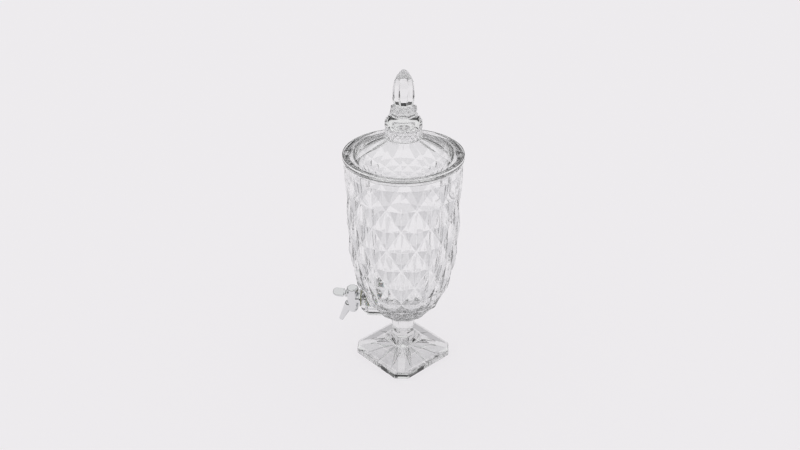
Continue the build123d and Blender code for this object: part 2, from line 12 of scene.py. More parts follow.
import bpy
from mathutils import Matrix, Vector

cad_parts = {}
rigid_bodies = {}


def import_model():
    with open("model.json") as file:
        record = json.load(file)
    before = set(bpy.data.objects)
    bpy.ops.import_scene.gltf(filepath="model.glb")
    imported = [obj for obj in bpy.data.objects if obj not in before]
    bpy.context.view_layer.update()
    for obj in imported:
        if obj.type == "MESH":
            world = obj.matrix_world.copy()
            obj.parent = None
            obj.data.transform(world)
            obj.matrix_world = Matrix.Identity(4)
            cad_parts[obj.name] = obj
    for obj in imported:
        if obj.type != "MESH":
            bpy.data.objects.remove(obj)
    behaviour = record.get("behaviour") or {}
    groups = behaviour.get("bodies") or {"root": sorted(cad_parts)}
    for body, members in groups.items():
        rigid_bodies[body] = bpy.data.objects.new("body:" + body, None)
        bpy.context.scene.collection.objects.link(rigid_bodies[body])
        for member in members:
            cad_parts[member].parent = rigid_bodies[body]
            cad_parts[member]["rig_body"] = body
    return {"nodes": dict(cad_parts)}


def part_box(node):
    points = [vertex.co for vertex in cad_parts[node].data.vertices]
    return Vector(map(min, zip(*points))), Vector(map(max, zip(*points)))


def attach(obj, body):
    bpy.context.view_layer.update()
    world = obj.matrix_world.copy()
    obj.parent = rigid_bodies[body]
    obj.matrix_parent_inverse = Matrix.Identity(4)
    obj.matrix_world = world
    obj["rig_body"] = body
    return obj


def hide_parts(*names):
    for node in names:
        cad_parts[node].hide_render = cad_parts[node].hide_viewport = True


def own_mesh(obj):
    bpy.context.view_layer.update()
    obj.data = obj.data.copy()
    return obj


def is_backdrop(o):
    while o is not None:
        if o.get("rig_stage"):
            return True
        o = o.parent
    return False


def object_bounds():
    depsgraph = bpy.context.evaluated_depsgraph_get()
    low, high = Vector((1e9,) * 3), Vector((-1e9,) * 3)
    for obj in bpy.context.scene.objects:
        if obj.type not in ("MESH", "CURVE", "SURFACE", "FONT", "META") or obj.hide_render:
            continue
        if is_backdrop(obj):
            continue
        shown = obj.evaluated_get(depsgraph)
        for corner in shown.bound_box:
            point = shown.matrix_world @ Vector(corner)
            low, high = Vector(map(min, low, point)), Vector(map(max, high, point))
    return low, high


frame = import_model()
nodes = frame["nodes"]
slot_of = {name: node.material_slots[0].name for name, node in nodes.items()}
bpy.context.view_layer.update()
scene = bpy.context.scene
scene.view_settings.view_transform = "Standard"

# %% [markdown]
# ## Camera
# The photograph looks down on the dispenser from its side, with the tap at the left. The lens and the place
# of the camera were worked out from the ellipse of the rim and the corners of the foot, so here they are
# plain measures: a place in metres, an angle down, and a focal length in pixels of an image 800 wide.

# %% Camera
photo_width_px = 800
focal_px = 876.0
sensor_mm = 36.0
camera_place = (1.1661, 0.0448, 0.898)
look_down = math.radians(29.47)
look_aside = math.radians(0.25)

camera_data = bpy.data.cameras.new("camera")
camera_data.sensor_width = sensor_mm
camera_data.lens = focal_px / photo_width_px * sensor_mm
camera_data.clip_start = 0.01
camera = bpy.data.objects.new("camera", camera_data)
scene.collection.objects.link(camera)
heading = math.atan2(-camera_place[1], -camera_place[0]) + look_aside
camera.location = camera_place
camera.rotation_euler = (math.pi / 2 - look_down, 0, heading - math.pi / 2)
scene.camera = camera
print("lens", round(camera_data.lens, 2), "mm")

# %% [markdown]
# ## Floor
# Clear glass has no colour of its own: it shows what is behind it, bent. So the first finish of a glass
# object is the floor, one wide pale disc. It lies a hair under the foot, because glass that shares a plane
# with its table would show a black underside where a real foot has a film of air.

# %% Floor
floor_gap = 0.0004
floor_radius = 200.0
bpy.ops.object.select_all(action="DESELECT")
bpy.ops.mesh.primitive_circle_add(
    vertices=96, radius=floor_radius, fill_type="NGON", location=(0, 0, -floor_gap)
)
floor = bpy.context.object
floor.name = "floor"
bpy.ops.object.transform_apply()
floor_paint = bpy.data.materials.new("floor_paint")
floor_paint.use_nodes = True
floor_shader = floor_paint.node_tree.nodes["Principled BSDF"].inputs
floor_shader["Base Color"].default_value = (0.95, 0.935, 0.957, 1)
floor_shader["Roughness"].default_value = 0.9
floor_shader["Specular IOR Level"].default_value = 0.0
floor.data.materials.append(floor_paint)
floor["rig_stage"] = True
print("floor", [round(v, 2) for v in floor.dimensions])

# %% [markdown]
# ### Floor seen through glass
# Glass keeps much of the light from the floor under it, and a renderer can't follow all the bent light that
# would reach it there. So a part of the floor's paleness is a glow that the camera, mirrors and glass all
# see alike. The rest is plain paint, which takes the shadow.

# %% Floor glow
floor_glow = 0.8
floor_tree = floor_paint.node_tree
rays = floor_tree.nodes.new("ShaderNodeLightPath").outputs
seen = rays["Is Camera Ray"]
for kind in ("Is Glossy Ray", "Is Transmission Ray"):
    either = floor_tree.nodes.new("ShaderNodeMath")
    either.operation = "MAXIMUM"
    floor_tree.links.new(seen, either.inputs[0])
    floor_tree.links.new(rays[kind], either.inputs[1])
    seen = either.outputs[0]
share = floor_tree.nodes.new("ShaderNodeMath")
share.operation = "MULTIPLY"
share.inputs[1].default_value = floor_glow
floor_tree.links.new(seen, share.inputs[0])
pale = floor_tree.nodes.new("ShaderNodeEmission")
pale.inputs["Color"].default_value = (0.886, 0.866, 0.888, 1)
mixed = floor_tree.nodes.new("ShaderNodeMixShader")
floor_tree.links.new(share.outputs[0], mixed.inputs["Fac"])
floor_tree.links.new(floor_tree.nodes["Principled BSDF"].outputs[0], mixed.inputs[1])
floor_tree.links.new(pale.outputs[0], mixed.inputs[2])
floor_tree.links.new(mixed.outputs[0], floor_tree.nodes["Material Output"].inputs["Surface"])
print("floor glow", floor_glow)

# %% [markdown]
# ## Light
# A photographer draws the edges of clear glass with darkness. The room is black near the table, and above
# that its walls and ceiling are one big soft light. The bright part fills the glass, and steep facets and
# edges bend the dark part into thin black lines. All of it is one sky: a ramp on the height of the
# direction, and two black boards that stand higher at the left and at the right.

# %% Sky
# Each stop is the sine of the elevation and the level of the sky there
horizon = ((0.0, 0.02), (0.30, 0.02))
soft_light = ((0.38, 0.83), (1.0, 0.85))
sky_stops = (*horizon, *soft_light)
board_level = 0.02
board_side = (0.55, 0.75)
board_top = (0.28, 0.42)
world = bpy.data.worlds.new("studio_sky")
scene.world = world
world.use_nodes = True
sky_nodes = world.node_tree.nodes
sky_links = world.node_tree.links


def sky_node(kind, **settings):
    node = sky_nodes.new(kind)
    for setting, value in settings.items():
        setattr(node, setting, value)
    return node


direction = sky_node("ShaderNodeTexCoord")
split = sky_node("ShaderNodeSeparateXYZ")
ramp = sky_node("ShaderNodeValToRGB")
sky_links.new(direction.outputs["Generated"], split.inputs["Vector"])
sky_links.new(split.outputs["Z"], ramp.inputs["Fac"])
stops = ramp.color_ramp.elements
while len(stops) < len(sky_stops):
    stops.new(0.5)
for stop, (sine, level) in zip(stops, sky_stops):
    stop.position = sine
    stop.color = (level, level, level, 1)

sideways = sky_node("ShaderNodeMath", operation="ABSOLUTE")
beside = sky_node("ShaderNodeMapRange", interpolation_type="SMOOTHSTEP")
below = sky_node("ShaderNodeMapRange", interpolation_type="SMOOTHSTEP")
board = sky_node("ShaderNodeMath", operation="MULTIPLY")
dim = sky_node("ShaderNodeMix", data_type="RGBA")
sky_links.new(split.outputs["Y"], sideways.inputs[0])
sky_links.new(sideways.outputs[0], beside.inputs["Value"])
beside.inputs["From Min"].default_value, beside.inputs["From Max"].default_value = board_side
sky_links.new(split.outputs["Z"], below.inputs["Value"])
below.inputs["From Min"].default_value, below.inputs["From Max"].default_value = board_top
below.inputs["To Min"].default_value, below.inputs["To Max"].default_value = 1.0, 0.0
sky_links.new(beside.outputs["Result"], board.inputs[0])
sky_links.new(below.outputs["Result"], board.inputs[1])
sky_links.new(board.outputs[0], dim.inputs["Factor"])
sky_links.new(ramp.outputs["Color"], dim.inputs["A"])
dim.inputs["B"].default_value = (board_level, board_level, board_level, 1)
sky_links.new(dim.outputs["Result"], sky_nodes["Background"].inputs["Color"])

scene.cycles.max_bounces = 32
scene.cycles.transmission_bounces = 32
scene.cycles.glossy_bounces = 12
print("sky stops", len(stops))

# %% [markdown]
# ## Effects that several finishes share
# Three things spoil a perfect surface here: slow waves that a mould leaves in glass and plastic, smudges
# from hands, and fine scratches from wiping. Each is a node group, built once, so that every finish can use
# it at its own scale. All three read Object coordinates, so they stay on the piece when it moves.

# %% Shared node groups
def new_group(name, inputs, outputs):
    """Node group with float sockets: inputs are names with a first value, outputs are names."""
    group = bpy.data.node_groups.new(name, "ShaderNodeTree")
    for socket_name, value in inputs.items():
        socket = group.interface.new_socket(socket_name, in_out="INPUT", socket_type="NodeSocketFloat")
        socket.default_value = value
    for socket_name in outputs:
        group.interface.new_socket(socket_name, in_out="OUTPUT", socket_type="NodeSocketFloat")
    return group, group.nodes.new("NodeGroupInput").outputs, group.nodes.new("NodeGroupOutput").inputs


def new_node(tree, kind, links=None, **settings):
    """Node with its settings, and links from other sockets or plain values into its inputs."""
    node = tree.nodes.new(kind)
    for setting, value in settings.items():
        setattr(node, setting, value)
    for socket, source in (links or {}).items():
        if isinstance(source, bpy.types.NodeSocket):
            tree.links.new(source, node.inputs[socket])
        else:
            node.inputs[socket].default_value = source
    return node


waves, given, result = new_group("slow_waves", {"Scale": 40.0}, ["Height"])
place = new_node(waves, "ShaderNodeTexCoord").outputs["Object"]
swell = new_node(
    waves, "ShaderNodeTexNoise", {"Vector": place, "Scale": given["Scale"], "Detail": 1.0}
)
waves.links.new(swell.outputs["Fac"], result["Height"])

smudges, given, result = new_group("hand_smudges", {"Scale": 25.0, "Amount": 0.05}, ["Haze"])
place = new_node(smudges, "ShaderNodeTexCoord").outputs["Object"]
patch = new_node(
    smudges, "ShaderNodeTexNoise", {"Vector": place, "Scale": given["Scale"], "Detail": 4.0}
)
haze = new_node(
    smudges,
    "ShaderNodeMapRange",
    {"Value": patch.outputs["Fac"], "From Min": 0.48, "From Max": 0.72, "To Max": given["Amount"]},
    interpolation_type="SMOOTHSTEP",
)
smudges.links.new(haze.outputs["Result"], result["Haze"])

scratches, given, result = new_group("fine_scratches", {"Scale": 300.0, "Amount": 0.1}, ["Mark"])
place = new_node(scratches, "ShaderNodeTexCoord").outputs["Object"]
marks = []
for turn in (0.4, 1.7):
    drawn = new_node(
        scratches,
        "ShaderNodeMapping",
        {"Vector": place, "Rotation": (turn, 0.6, turn), "Scale": (1.0, 1.0, 0.03)},
    )
    hair = new_node(
        scratches,
        "ShaderNodeTexNoise",
        {"Vector": drawn.outputs["Vector"], "Scale": given["Scale"], "Detail": 2.0},
    )
    thin = new_node(
        scratches,
        "ShaderNodeMapRange",
        {"Value": hair.outputs["Fac"], "From Min": 0.62, "From Max": 0.70, "To Max": given["Amount"]},
    )
    marks.append(thin.outputs["Result"])
both = new_node(scratches, "ShaderNodeMath", {0: marks[0], 1: marks[1]}, operation="MAXIMUM")
scratches.links.new(both.outputs[0], result["Mark"])
print("groups", [group.name for group in (waves, smudges, scratches)])

# %% [markdown]
# ## Finishes
# A finish starts from the Principled shader. What is the same all over is set on the shader's own socket,
# and what changes over the surface comes from the groups. One helper makes the material, and one adds a
# surface: a roughness with smudges and scratches on it, and a bump of waves or scratches.

# %% Material helpers
def new_finish(name, colour, roughness, **sockets):
    material = bpy.data.materials.new(name)
    material.use_nodes = True
    shader = material.node_tree.nodes["Principled BSDF"]
    shader.inputs["Base Color"].default_value = (*colour, 1)
    shader.inputs["Roughness"].default_value = roughness
    for socket, value in sockets.items():
        shader.inputs[socket.replace("_", " ")].default_value = value
    return material, shader


def use_group(material, group, **values):
    node = new_node(material.node_tree, "ShaderNodeGroup", node_tree=group)
    for socket, value in values.items():
        node.inputs[socket].default_value = value
    return node.outputs[0]


def vary_roughness(material, shader, *marks):
    """Roughness that starts at the shader's own value and grows by each mark."""
    level = shader.inputs["Roughness"].default_value
    for mark in marks:
        total = new_node(material.node_tree, "ShaderNodeMath", {0: mark, 1: level}, operation="ADD")
        level = total.outputs[0]
    material.node_tree.links.new(level, shader.inputs["Roughness"])


def add_bump(material, shader, height, depth, strength=1.0):
    bump = new_node(
        material.node_tree, "ShaderNodeBump", {"Height": height, "Distance": depth, "Strength": strength}
    )
    material.node_tree.links.new(bump.outputs["Normal"], shader.inputs["Normal"])


def vary_colour(material, shader, mask, other):
    """Base colour that goes from the shader's own to another by a mask."""
    own = tuple(shader.inputs["Base Color"].default_value)
    blend = new_node(
        material.node_tree, "ShaderNodeMix", {"Factor": mask, "A": own, "B": (*other, 1)}, data_type="RGBA"
    )
    material.node_tree.links.new(blend.outputs["Result"], shader.inputs["Base Color"])


# %% [markdown]
# ### Pressed glass
# Soda glass from a mould: clear, with slow waves on its skin, a few smudges, and no colour to speak of.
# Thick glass still swallows some light on its way, which the Volume Absorption does. On the bowl each
# diamond has a half that leans down and looks darker, and the slopes of the foot look darker too. Real
# glass takes that from the room. Here it is painted shade: a face attribute called shade darkens the
# glass's colour on those faces, and it is zero on every piece that doesn't have it.

# %% Pressed glass
glass, shader = new_finish("pressed_glass", (0.995, 0.997, 0.997), 0.0, IOR=1.52, Transmission_Weight=1.0)
# Painted shade: the shade attribute mixes a grey into the glass's colour.
shade = new_node(glass.node_tree, "ShaderNodeAttribute", attribute_name="shade").outputs["Fac"]
vary_colour(glass, shader, shade, (0.74, 0.745, 0.75))
vary_roughness(glass, shader, use_group(glass, smudges, Scale=18.0, Amount=0.012))
add_bump(glass, shader, use_group(glass, waves, Scale=45.0), 0.0001)
soak = new_node(
    glass.node_tree, "ShaderNodeVolumeAbsorption", {"Color": (0.0, 0.0, 0.0, 1), "Density": 2.0}
)
glass_end = glass.node_tree.nodes["Material Output"].inputs["Volume"]
glass.node_tree.links.new(soak.outputs["Volume"], glass_end)
print(glass.name, len(glass.node_tree.nodes), "nodes")

# %% [markdown]
# ### Chrome
# The tap is cast brass or zinc with bright chrome on it. Chrome is not white: it keeps a part of the light,
# which is why it reads as grey beside a pale table. Wiping leaves hair scratches, and fingers leave haze.

# %% Chrome
chrome, shader = new_finish("chrome_plate", (0.77, 0.775, 0.783), 0.035, Metallic=1.0)
wiped = use_group(chrome, scratches, Scale=900.0, Amount=0.10)
vary_roughness(chrome, shader, use_group(chrome, smudges, Scale=90.0, Amount=0.09), wiped)
add_bump(chrome, shader, use_group(chrome, waves, Scale=160.0), 0.00006)
print(chrome.name, len(chrome.node_tree.nodes), "nodes")

# %% [markdown]
# ### Silicone, nylon, steel and rubber
# The lid's ring is clear silicone, a little grey, with a satin skin. Its open edge, which lies between the
# lid and the rim, is painted nearly black as a painted shadow: the thin dark line round the mouth. The
# tap's rings are the yellowish kind. The nut and washer inside the bowl are milky nylon, and the stem, pin,
# clip and spring are drawn stainless wire and rod, whose lines run along them. The O-ring is black rubber.

# %% Silicone, nylon, steel and rubber
clear_silicone, shader = new_finish(
    "clear_silicone_ring", (0.80, 0.80, 0.80), 0.16, IOR=1.41, Transmission_Weight=1.0
)
# Painted shadow: the ring turns nearly black towards its outer edge, as the shade in the gap between lid and
# rim.
shadow_line_start, shadow_line_end = 0.0868, 0.0878
tree = clear_silicone.node_tree
place = new_node(tree, "ShaderNodeTexCoord").outputs["Object"]
level = new_node(tree, "ShaderNodeVectorMath", {0: place, 1: (1.0, 1.0, 0.0)}, operation="MULTIPLY")
reach = new_node(tree, "ShaderNodeVectorMath", {0: level.outputs["Vector"]}, operation="LENGTH")
painted_shadow_line = new_node(
    tree,
    "ShaderNodeMapRange",
    {"Value": reach.outputs["Value"], "From Min": shadow_line_start, "From Max": shadow_line_end},
)
vary_colour(clear_silicone, shader, painted_shadow_line.outputs["Result"], (0.03, 0.03, 0.03))
vary_roughness(clear_silicone, shader, use_group(clear_silicone, smudges, Scale=60.0, Amount=0.12))
add_bump(clear_silicone, shader, use_group(clear_silicone, waves, Scale=220.0), 0.00005)

amber_silicone, shader = new_finish(
    "amber_silicone", (0.78, 0.78, 0.42), 0.32, IOR=1.41, Transmission_Weight=0.45
)
aged = use_group(amber_silicone, smudges, Scale=180.0, Amount=0.5)
vary_colour(amber_silicone, shader, aged, (0.70, 0.66, 0.36))
vary_roughness(amber_silicone, shader, use_group(amber_silicone, smudges, Scale=120.0, Amount=0.15))
add_bump(amber_silicone, shader, use_group(amber_silicone, waves, Scale=500.0), 0.00005)

nylon, shader = new_finish(
    "milky_nylon", (0.82, 0.82, 0.79), 0.38, Subsurface_Weight=0.25, Subsurface_Scale=0.002
)
vary_colour(nylon, shader, use_group(nylon, smudges, Scale=140.0, Amount=0.6), (0.74, 0.74, 0.70))
vary_roughness(nylon, shader, use_group(nylon, scratches, Scale=700.0, Amount=0.15))
add_bump(nylon, shader, use_group(nylon, waves, Scale=900.0), 0.00005)

stainless, shader = new_finish("drawn_stainless", (0.60, 0.60, 0.59), 0.18, Metallic=1.0)
drawn_lines = use_group(stainless, scratches, Scale=2500.0, Amount=0.25)
vary_roughness(stainless, shader, drawn_lines)
add_bump(stainless, shader, drawn_lines, 0.00002)

rubber, shader = new_finish("black_rubber_ring", (0.018, 0.018, 0.018), 0.5)
vary_colour(rubber, shader, use_group(rubber, smudges, Scale=300.0, Amount=0.7), (0.045, 0.044, 0.042))
vary_roughness(rubber, shader, use_group(rubber, smudges, Scale=200.0, Amount=0.2))
add_bump(rubber, shader, use_group(rubber, waves, Scale=1500.0), 0.00004)

finishes = {
    "clear_glass": glass,
    "chrome": chrome,
    "clear_silicone": clear_silicone,
    "tap_silicone": amber_silicone,
    "nylon": nylon,
    "stainless": stainless,
    "black_rubber": rubber,
}
for name, node in nodes.items():
    node.material_slots[0].material = finishes[slot_of[name]]
print("finishes", sorted(finishes))

# %% [markdown]
# ## Copies with soft edges
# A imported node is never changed, so a piece that needs round edges is a copy that stands for its node, or a
# new piece that does. A copy's triangles are merged, and flat ones are joined into whole facets, so that
# only real edges are left. A Bevel modifier then rounds each edge sharper than an angle, and Weighted
# Normal keeps the facets flat in between.

# %% Copy helpers
def select_only(piece):
    bpy.ops.object.select_all(action="DESELECT")
    piece.select_set(True)
    bpy.context.view_layer.objects.active = piece


def stand_for(piece, name):
    """The piece takes the place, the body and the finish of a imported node."""
    piece.data.materials.clear()
    piece.data.materials.append(finishes[slot_of[name]])
    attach(piece, nodes[name]["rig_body"])
    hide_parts(name)


def merged_copy(name, ending):
    piece = bpy.data.objects.new(f"{name}_{ending}", nodes[name].data.copy())
    scene.collection.objects.link(piece)
    select_only(piece)
    bpy.ops.mesh.customdata_custom_splitnormals_clear()
    bpy.ops.object.mode_set(mode="EDIT")
    bpy.ops.mesh.select_all(action="SELECT")
    bpy.ops.mesh.remove_doubles(threshold=1e-5)
    bpy.ops.mesh.dissolve_limited(angle_limit=math.radians(0.5))
    bpy.ops.object.mode_set(mode="OBJECT")
    bpy.ops.object.shade_smooth()
    stand_for(piece, name)
    return piece


def sharp_edges(mesh, degrees):
    """Edges where two faces meet at more than an angle, each with its two faces."""
    faces_at = {}
    for face in mesh.polygons:
        for key in face.edge_keys:
            faces_at.setdefault(key, []).append(face)
    for edge in mesh.edges:
        pair = faces_at[tuple(sorted(edge.vertices))]
        if len(pair) == 2 and pair[0].normal.angle(pair[1].normal, 0.0) > math.radians(degrees):
            yield edge, pair


def apply_bevel(piece, width, segments, **limit):
    select_only(piece)
    bevel = piece.modifiers.new("soft_edge", "BEVEL")
    bevel.width = width
    bevel.segments = segments
    bevel.use_clamp_overlap = False
    for setting, value in limit.items():
        setattr(bevel, setting, value)
    bpy.ops.object.modifier_apply(modifier=bevel.name)
    flat = piece.modifiers.new("flat_facets", "WEIGHTED_NORMAL")
    flat.keep_sharp = True
    bpy.ops.object.modifier_apply(modifier=flat.name)
    print(piece.name, len(piece.data.polygons), "faces")


def round_edges(piece, degrees, width, segments):
    apply_bevel(piece, width, segments, limit_method="ANGLE", angle_limit=math.radians(degrees))


def select_points(piece, test):
    """Edit mode with only the points selected that pass a test on their place."""
    select_only(piece)
    bpy.ops.object.mode_set(mode="EDIT")
    bpy.ops.mesh.select_mode(type="VERT")
    bpy.ops.mesh.select_all(action="DESELECT")
    bpy.ops.object.mode_set(mode="OBJECT")
    for point in piece.data.vertices:
        point.select = test(point.co)
    bpy.ops.object.mode_set(mode="EDIT")


def fill_openings():
    """Closes every open border of the mesh in edit mode with one flat face."""
    bpy.ops.mesh.select_all(action="DESELECT")
    bpy.ops.mesh.select_non_manifold()
    bpy.ops.mesh.edge_face_add()


# %% [markdown]
# ## Foot
# The foot is one pressed block, a square with cut corners that steps up to an eight-sided stem, with a star
# of twelve rays cut in its underside, which glitters through the slopes. It is bonded to the bowl with
# clear cement, so the eye meets no air between them. The copy's top is raised a tenth of a millimetre into
# the bowl: two parallel faces that overlap cancel out, as a cemented joint does. The four wide slopes are
# darkened with painted shade, and the star a little, while the narrow corners stay bright.

# %% Foot
joint_overlap = 0.0001
top_zone = 0.0005
foot_edge = 0.0008
foot_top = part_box("pedestal_foot")[1].z
foot = merged_copy("pedestal_foot", "glass")
select_points(foot, lambda place: place.z > foot_top - top_zone)
bpy.ops.transform.translate(value=(0, 0, joint_overlap))
bpy.ops.object.mode_set(mode="OBJECT")
round_edges(foot, 4, foot_edge, 3)

# %% Foot shade
slope_area = 0.0003
slope_low = 0.0118
least_tilt = 0.3
slope_shade, star_shade = 1.0, 0.4
# Painted shade: full on the four wide slopes, less on the star's faces under the foot.
tones = foot.data.attributes.new("shade", "FLOAT", "FACE")
for face in foot.data.polygons:
    if face.area > slope_area and face.center.z > slope_low and face.normal.z > least_tilt:
        tones.data[face.index].value = slope_shade
    elif face.normal.z < -least_tilt:
        tones.data[face.index].value = star_shade
print("shaded faces", sum(tone.value > 0 for tone in tones.data))

# %% [markdown]
# ## Finial
# An eight-sided knop and a long bud, fire-polished, so every facet ends in a soft edge. The bud's sides are
# shallow flutes that turn out quickly above the neck and then run to the tip in one slow curve, so it is
# drawn ring by ring: an eight-sided outline is extruded upwards and laid on the next radius of the curve.
# Its spigot is cemented in the lid and can't be seen in the real one, so this piece has none, and sinks a
# tenth of a millimetre into the lid.

# %% Ring helpers
def start_ring(name, points, radius, height):
    """Closed outline of points round the Z axis, left in edit mode with all of it selected."""
    bpy.ops.object.select_all(action="DESELECT")
    bpy.ops.mesh.primitive_circle_add(vertices=points, radius=radius, location=(0, 0, height))
    piece = bpy.context.object
    piece.name = name
    bpy.ops.object.transform_apply()
    bpy.ops.object.mode_set(mode="EDIT")
    bpy.ops.mesh.select_all(action="SELECT")
    return piece


def next_ring(piece, outline, height):
    """Extrudes the selected outline to a height, on one radius or on a radius for each angle."""
    bpy.ops.mesh.extrude_region()
    bpy.ops.object.mode_set(mode="OBJECT")
    for point in piece.data.vertices:
        if point.select:
            angle = math.atan2(point.co.y, point.co.x)
            radius = outline(angle) if callable(outline) else outline
            point.co = (radius * math.cos(angle), radius * math.sin(angle), height)
    bpy.ops.object.mode_set(mode="EDIT")


def close_rings(piece):
    """Fills the open outlines, turns the faces outwards and leaves edit mode."""
    fill_openings()
    bpy.ops.mesh.select_all(action="SELECT")
    bpy.ops.mesh.normals_make_consistent(inside=False)
    bpy.ops.object.mode_set(mode="OBJECT")
    bpy.ops.object.shade_smooth()


def bend(before, corner, after, steps):
    """Points of a soft curve that leaves one point towards a corner and ends in another."""
    for step in range(steps + 1):
        t = step / steps
        yield tuple(
            (1 - t) ** 2 * a + 2 * t * (1 - t) * b + t**2 * c for a, b, c in zip(before, corner, after)
        )


# %% Finial
lid_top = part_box("lid_cover")[1].z
finial_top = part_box("lid_finial")[1].z
finial_sides = 8
points_per_side = 6
flute = 0.04
knop_base = 0.0165
knop_rings = ((0.0, 0.018), (0.0035, 0.021), (0.0095, 0.0204))
bud_radius, bud_neck, bud_tip = 0.017, 0.012, 0.0025
bud_low, bud_belly = lid_top + 0.014, lid_top + 0.0345
bud_steps = 10
neck_turn, tip_turn = 4, 0.85
finial_edge = 0.0004


def fluted(radius):
    """Eight-sided outline whose sides are shallow flutes."""
    half = math.pi / finial_sides

    def outline(angle):
        across = ((angle + half) % (2 * half) - half) / half
        return radius * (math.cos(half) / math.cos(across * half) - flute * (1 - across**2))

    return outline


finial = start_ring("lid_finial_glass", points_per_side * finial_sides, knop_base, lid_top - joint_overlap)
for rise, radius in knop_rings:
    next_ring(finial, fluted(radius), lid_top + rise)
for step in range(bud_steps + 1):
    share = 1 - step / bud_steps
    swelling = bud_radius - (bud_radius - bud_neck) * share**neck_turn
    next_ring(finial, fluted(swelling), bud_belly - (bud_belly - bud_low) * share)
for step in range(1, bud_steps + 1):
    share = step / bud_steps
    ogive = bud_tip + (bud_radius - bud_tip) * (1 - share**2) ** tip_turn
    next_ring(finial, fluted(ogive), bud_belly + (finial_top - bud_belly) * share)
close_rings(finial)
stand_for(finial, "lid_finial")
round_edges(finial, 20, finial_edge, 2)

# %% [markdown]
# ## Lid
# Twelve panels rise from a round flange, and inside, a tapered skirt drops into the mouth. The section is
# followed like a potter's template: one outline of many points starts at the skirt's foot, runs out under
# the flange, round its edge and up the panels, and a second run closes the inside. On the panels the points
# lie on a twelve-sided outline. Moulded glass has no sharp inside corner, so the hollow's corner is a wide
# curve.

# %% Lid section
panels = 12
lid_points = panels * 16
flange_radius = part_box("lid_cover")[1].x
skirt_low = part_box("lid_cover")[0].z
flange_low, flange_top, panel_top = skirt_low + 0.010, skirt_low + 0.016, skirt_low + 0.042
flange_round = 0.002
skirt_radius, skirt_foot = 0.0775, 0.0755
panel_foot, panel_head = 0.0875, 0.0290
skirt_tip = 0.0006
neck_radius = 0.0205
lid_edge = 0.0005


def panel_outline(radius):
    """Radius at each angle of a twelve-sided outline with its corners on a radius."""
    half = math.pi / panels

    def outline(angle):
        return radius * math.cos(half) / math.cos(angle % (2 * half) - half)

    return outline


lid = start_ring("lid_cover_glass", lid_points, skirt_foot + skirt_tip, skirt_low)
for radius, height in (
    (skirt_radius - skirt_tip, skirt_low),
    (skirt_radius, skirt_low + skirt_tip),
    (skirt_radius, flange_low),
    *bend(
        (flange_radius - flange_round, flange_low),
        (flange_radius, flange_low),
        (flange_radius, flange_low + flange_round),
        6,
    ),
    *bend(
        (flange_radius, flange_top - flange_round),
        (flange_radius, flange_top),
        (flange_radius - flange_round, flange_top),
        6,
    ),
    (panel_outline(panel_foot), flange_top),
    (panel_outline(panel_head), panel_top),
    (neck_radius, panel_top),
):
    next_ring(lid, radius, height)
bpy.ops.object.mode_set(mode="OBJECT")
print(lid.name, len(lid.data.polygons), "faces outside")

# %% Lid inside
skirt_bend = (
    (0.0748, skirt_low + 0.0018),
    (0.0690, skirt_low + 0.0171),
    (0.0450, skirt_low + 0.0281),
)
neck_bend = (
    (0.0310, skirt_low + 0.0346),
    (0.0240, skirt_low + 0.0378),
    (neck_radius, panel_top - 0.0012),
)


def on_first_ring(place):
    return place.z < skirt_low + 1e-6 and math.hypot(place.x, place.y) < skirt_foot + skirt_tip + 1e-5


select_points(lid, on_first_ring)
for radius, height in (
    (skirt_foot, skirt_low + skirt_tip),
    *bend(*skirt_bend, 8),
    *bend(*neck_bend, 6),
):
    next_ring(lid, radius, height)
bpy.ops.mesh.select_all(action="DESELECT")
bpy.ops.mesh.select_non_manifold()
bpy.ops.mesh.bridge_edge_loops()
close_rings(lid)
round_edges(lid, 11.5, lid_edge, 2)

# %% [markdown]
# ### Collar
# Round the collar run small diamonds, 24 to a row. Each row is one ring of points that stand on a crest or
# in a groove by turns, and the next ring changes places. Between two rings lie bent squares: split across
# their shortest way, from groove to groove, they become the facets. The top edge is soft, and a plain
# shoulder leads to the finial. The collar is hollow, because a solid one of this size would look nearly
# black inside.

# %% Collar
collar_columns, collar_rows = 24, 6
collar_radius, collar_groove = 0.0275, 0.0013
collar_top, shoulder_radius = panel_top + 0.0246, 0.020
soft_edge, shoulder_edge = 0.0016, 0.0006
facet_edge = 0.0002
roof, roof_radius, roof_bend = collar_top - 0.004, 0.0065, 0.010
row_height = (collar_top - soft_edge - panel_top) / collar_rows


def diamond_outline(row):
    """Crests and grooves by turns, but plain at the top and the bottom of the collar."""
    if row in (0, collar_rows):
        return lambda angle: collar_radius

    def outline(angle):
        place = round(angle / math.pi * collar_columns)
        return collar_radius - collar_groove * ((place + row) % 2)

    return outline


collar = start_ring("lid_collar", 2 * collar_columns, neck_radius, panel_top - joint_overlap)
next_ring(collar, collar_radius, panel_top - joint_overlap)
for row in range(collar_rows + 1):
    next_ring(collar, diamond_outline(row), panel_top + row * row_height)
slope = math.atan2(lid_top - collar_top, collar_radius - shoulder_radius)
below_edge = (collar_radius, collar_top - soft_edge)
above_edge = (
    collar_radius - 2 * soft_edge * math.cos(slope),
    collar_top + 2 * soft_edge * math.sin(slope),
)
for radius, height in bend(below_edge, (collar_radius, collar_top), above_edge, 6):
    next_ring(collar, radius, height)
for radius, height in bend(
    (shoulder_radius + shoulder_edge * math.cos(slope), lid_top - shoulder_edge * math.sin(slope)),
    (shoulder_radius, lid_top),
    (shoulder_radius - shoulder_edge, lid_top),
    4,
):
    next_ring(collar, radius, height)
bpy.ops.object.mode_set(mode="OBJECT")
print(collar.name, len(collar.data.polygons), "faces outside")


# %% Collar inside and facets
def on_neck(place):
    return place.z < panel_top and math.hypot(place.x, place.y) < neck_radius + 1e-5


def in_diamonds(place):
    on_outside = math.hypot(place.x, place.y) > (neck_radius + collar_radius) / 2
    return on_outside and panel_top - 1e-5 < place.z < collar_top - soft_edge + 1e-5


